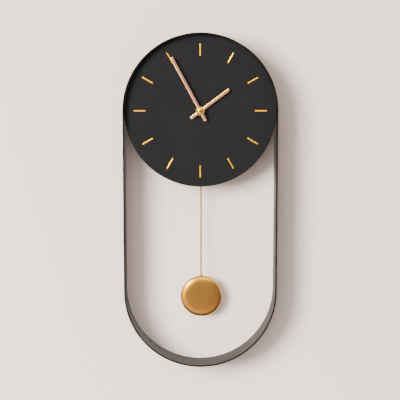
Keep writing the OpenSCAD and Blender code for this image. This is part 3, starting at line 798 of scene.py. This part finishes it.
def build_knob():
    """The time-setting knob: fine ribs round the rim and a dished face."""
    centre = middle("setting_knob")
    front, back = low("setting_knob").y, high("setting_knob").y
    r = size("setting_knob").x / 2 - 0.02 * MM
    ribs, per_rib = 18, 8
    edge = 0.5 * MM
    bm = bmesh.new()
    levels = [(r - edge, front, 0.2), (r, front + edge, 0.5), (r, back - edge, 0.5),
              (r - edge * 0.4, back - edge * 0.3, 0.4), (r - edge, back, 0.15),
              (r - 1.6 * MM, back, 0.0), (r - 2.0 * MM, back - 0.5 * MM, 0.0),
              (1.6 * MM, back - 0.6 * MM, 0.0), (1.3 * MM, back - 0.2 * MM, 0.0)]
    rings = []
    for base, y, groove in levels:
        ring = []
        for k, a in enumerate(circle(ribs * per_rib)):
            dip = max(0.0, math.cos(2 * math.pi * (k % per_rib) / per_rib))
            reach = base - groove * MM * dip ** 2
            ring.append(bm.verts.new((reach * math.cos(a), y, reach * math.sin(a))))
        rings.append(ring)
    closed_skin(bm, rings)
    finished("knob", bm, "case_plastic", "motion_works", ["setting_knob"],
             at=(centre.x, 0, centre.z), sharp=45)


def build_magnet():
    """A plain disc with rounded rims."""
    centre = middle("arm_magnet")
    near, far = low("arm_magnet").y, high("arm_magnet").y
    r = size("arm_magnet").x / 2
    edge = 0.25 * MM
    bm = bmesh.new()
    profile = [(0, near), (r - edge, near)] + arc(r - edge, near + edge, edge, 270, 360, 3)
    profile += arc(r - edge, far - edge, edge, 0, 90, 3) + [(0, far)]
    lathe(bm, profile, 64)
    finished("magnet", bm, "magnet_nickel", "pendulum", ["arm_magnet"], at=(centre.x, 0, centre.z))


def build_ferrule():
    """The crimped sleeve that takes the rod, with two crimp grooves."""
    centre = middle("pendulum_rod")
    length = 12 * MM
    bottom = low("pendulum_hanger").z
    top = bottom + length
    r = size("pendulum_hanger").y / 2
    hole = size("pendulum_rod").x / 2
    edge = 0.25 * MM
    profile = [(hole, bottom + edge), (hole + edge, bottom), (r - edge, bottom), (r, bottom + edge)]
    groove_r = r - 0.22 * MM
    for rise in (2.6 * MM, 5.2 * MM):
        z = bottom + rise
        profile += [(r, z - 0.6 * MM), (groove_r, z - 0.25 * MM), (groove_r, z + 0.25 * MM),
                    (r, z + 0.6 * MM)]
    profile += [(r, top - edge), (r - edge, top), (0, top)]
    bm = bmesh.new()
    lathe(bm, profile, 48, "Z", (centre.x, centre.y, 0))
    finished("ferrule", bm, "bright_brass", "pendulum")


def build_rear():
    """The pieces behind the dial that keep the CAD shape and gain rounded edges."""
    soft_edges = [("hanger_plate", "black_steel", "clock_case", 0.3),
                  ("dial_tabs", "black_steel", "clock_case", 0.25),
                  ("movement_front_case", "case_plastic", "clock_case", 0.35),
                  ("movement_rear_case", "case_plastic", "clock_case", 0.3),
                  ("swing_arm", "white_plastic", "pendulum", 0.25),
                  ("pendulum_hanger", "bright_brass", "pendulum", 0.12),
                  ("rubber_washer", "black_rubber", "clock_case", 0.25),
                  ("pivot_pin", "plain_steel", "clock_case", 0.15)]
    for node, slot, body, width in soft_edges:
        softened(node, slot, body, width * MM)


# ---------------------------------------------------------------- wall, floor, lights, camera

def one_sided(name, low_colour, high_colour, rough):
    """Matt wall paint that can be looked through from behind. Its colour grows paler towards the floor:
    painted light in place of stronger light low on the wall.
    """
    made, tree, shader, where = new_material(name)
    plaster = noise(tree, where, scale=160, detail=5, rough=0.6)
    height = add(tree, "ShaderNodeSeparateXYZ", {"Vector": where}).outputs["Z"]
    # Painted light: the colour ramp over height makes the wall paler lower down.
    colours = ramp(tree, math_node(tree, "ADD", height, 0.75), [(0.2, low_colour), (0.9, high_colour)])
    tree.links.new(colours, shader.inputs["Base Color"])
    tree.links.new(bumped(tree, plaster, 0.12, 0.4 * MM), shader.inputs["Normal"])
    shader.inputs["Roughness"].default_value = rough
    shader.inputs["Specular IOR Level"].default_value = 0.2
    side = add(tree, "ShaderNodeNewGeometry").outputs["Backfacing"]
    clear = add(tree, "ShaderNodeBsdfTransparent").outputs[0]
    chosen = add(tree, "ShaderNodeMixShader", {0: side, 1: shader.outputs[0], 2: clear})
    tree.links.new(chosen.outputs[0], tree.nodes["Material Output"].inputs["Surface"])
    return made


def stage_plane(name, corners, material):
    mesh = bpy.data.meshes.new(name)
    mesh.from_pydata(corners, [], [(0, 1, 2, 3)])
    plane = bpy.data.objects.new(name, mesh)
    bpy.context.scene.collection.objects.link(plane)
    mesh.materials.append(material)
    return plane


def build_room():
    """A wall just behind the hoop and a floor well below it."""
    reach = 3.0
    floor_z = -1.25
    top_z = 1.9
    behind = BAND_BACK + 0.3 * MM
    # The two wall colours set the painted light gradient, paler near the floor.
    wall = stage_plane("wall", [(-reach, behind, floor_z), (reach, behind, floor_z),
                                (reach, behind, top_z), (-reach, behind, top_z)],
                       one_sided("wall_paint", (0.908, 0.796, 0.765),
                                 scaled((0.8, 0.694, 0.648), 0.94), rough=0.85))
    wall.visible_shadow = False
    floor = stage_plane("floor", [(-reach, -reach, floor_z), (reach, -reach, floor_z),
                                  (reach, reach, floor_z), (-reach, reach, floor_z)],
                        coated("floor_paint", (0.48, 0.39, 0.24), rough=0.8, grain_mm=4.0, bump=0.1,
                               mottle=0.02))
    floor.visible_diffuse = False


def area_light(name, place, aim, width, height, watts, colour, lights):
    """An elliptical lamp that gives diffuse light ('matt'), highlights ('glossy') or 'both'."""
    light = bpy.data.lights.new(name, "AREA")
    light.shape = "ELLIPSE"
    light.size = width
    light.size_y = height
    light.energy = watts
    light.color = colour
    lamp = bpy.data.objects.new(name, light)
    bpy.context.scene.collection.objects.link(lamp)
    lamp.location = place
    lamp.rotation_euler = (Vector(aim) - Vector(place)).to_track_quat("-Z", "Y").to_euler()
    lamp.visible_diffuse = lights != "glossy"
    lamp.visible_glossy = lights != "matt"


def build_lights():
    """A window on the left, warm lamps for the metal, two lamps behind and a pale surround."""
    centre = Vector((DIAL.x, 0, middle("frame_band").z))
    daylight = (1.0, 0.966, 0.93)
    window_at = Vector((-2.65, -3.2, 0.84))
    veil_at = Vector((-1.6, -3.2, 1.2))
    for name, place, width, height, watts in (("window", window_at, 2.6, 2.0, 672),
                                              ("window_veil", veil_at, 4.4, 4.4, 103)):
        area_light(name, centre + place, centre + Vector((place.x, 0, place.z)), width, height,
                   watts, daylight, "matt")
    area_light("far_wall", centre + Vector((2.4, -1.2, 0)), centre, 2.4, 2.4, 10, daylight, "matt")
    warm = (1.0, 0.85, 0.02)
    for name, place, width, height, watts in (("softbox", (-2, -2.1, 1.5), 1.2, 0.9, 325),
                                              ("ceiling", (0.5, -1.4, 1.9), 2.4, 0.9, 52),
                                              ("curtain", (-2.5, -1.9, -0.1), 1.2, 1.6, 32)):
        area_light(name, centre + Vector(place), centre, width, height, watts, warm, "glossy")
    for side, watts in ((-1, 45), (1, 70)):
        area_light("rear_fill", centre + Vector((side * 1.3, 1.3, 0.6)), centre, 1.0, 1.0, watts,
                   daylight, "both")
    world = bpy.data.worlds.new("studio")
    world.use_nodes = True
    tree = world.node_tree
    direction = add(tree, "ShaderNodeTexCoord").outputs["Generated"]
    parts = add(tree, "ShaderNodeSeparateXYZ", {0: direction}).outputs
    lean = math_node(tree, "ADD", math_node(tree, "MULTIPLY", parts["X"], -0.22),
                     math_node(tree, "MULTIPLY", parts["Z"], 0.3))
    background = tree.nodes["Background"]
    background.inputs["Color"].default_value = (1.0, 0.828, 0.755, 1)
    tree.links.new(math_node(tree, "MULTIPLY", math_node(tree, "ADD", lean, 1.0), 0.63),
                   background.inputs["Strength"])
    bpy.context.scene.world = world


def build_camera():
    """A little left of the dial and above it, looking slightly down."""
    from_dial = Vector((-21.7, -1832.5, 63.2)) * MM
    pitch = math.radians(5.587)
    yaw = math.radians(0.661)
    camera = bpy.data.cameras.new("camera")
    camera.sensor_width = 36
    camera.lens = 126.8
    camera.clip_end = 50
    view = bpy.data.objects.new("camera", camera)
    bpy.context.scene.collection.objects.link(view)
    view.location = Vector((DIAL.x, BAND_FRONT, DIAL.z)) + from_dial
    view.rotation_euler = Euler((math.pi / 2 - pitch, 0, -yaw))
    bpy.context.scene.camera = view


# ---------------------------------------------------------------- the clock

def dress_cad_nodes():
    """Gives every CAD node its slot's material."""
    for part in frame["record"]["subparts"]:
        mesh = NODES[part["node"]].data
        mesh.materials.clear()
        mesh.materials.append(MATERIALS[part["material_slot"]])


dress_cad_nodes()
build_hoop()
build_dial()
build_markers()
build_hand("hour_hand", "hour_works", "hour_blade", 1.95 * MM, 4.5 * MM)
build_hand("minute_hand", "minute_works", "minute_blade", 1.95 * MM, 5.0 * MM)
build_hand_nut()
build_bob()
build_rod()
build_dial_fixings()
build_case_screws()
build_welds()
build_battery()
build_contact_spring()
build_knob()
build_magnet()
build_ferrule()
build_rear()
build_room()
build_lights()
build_camera()
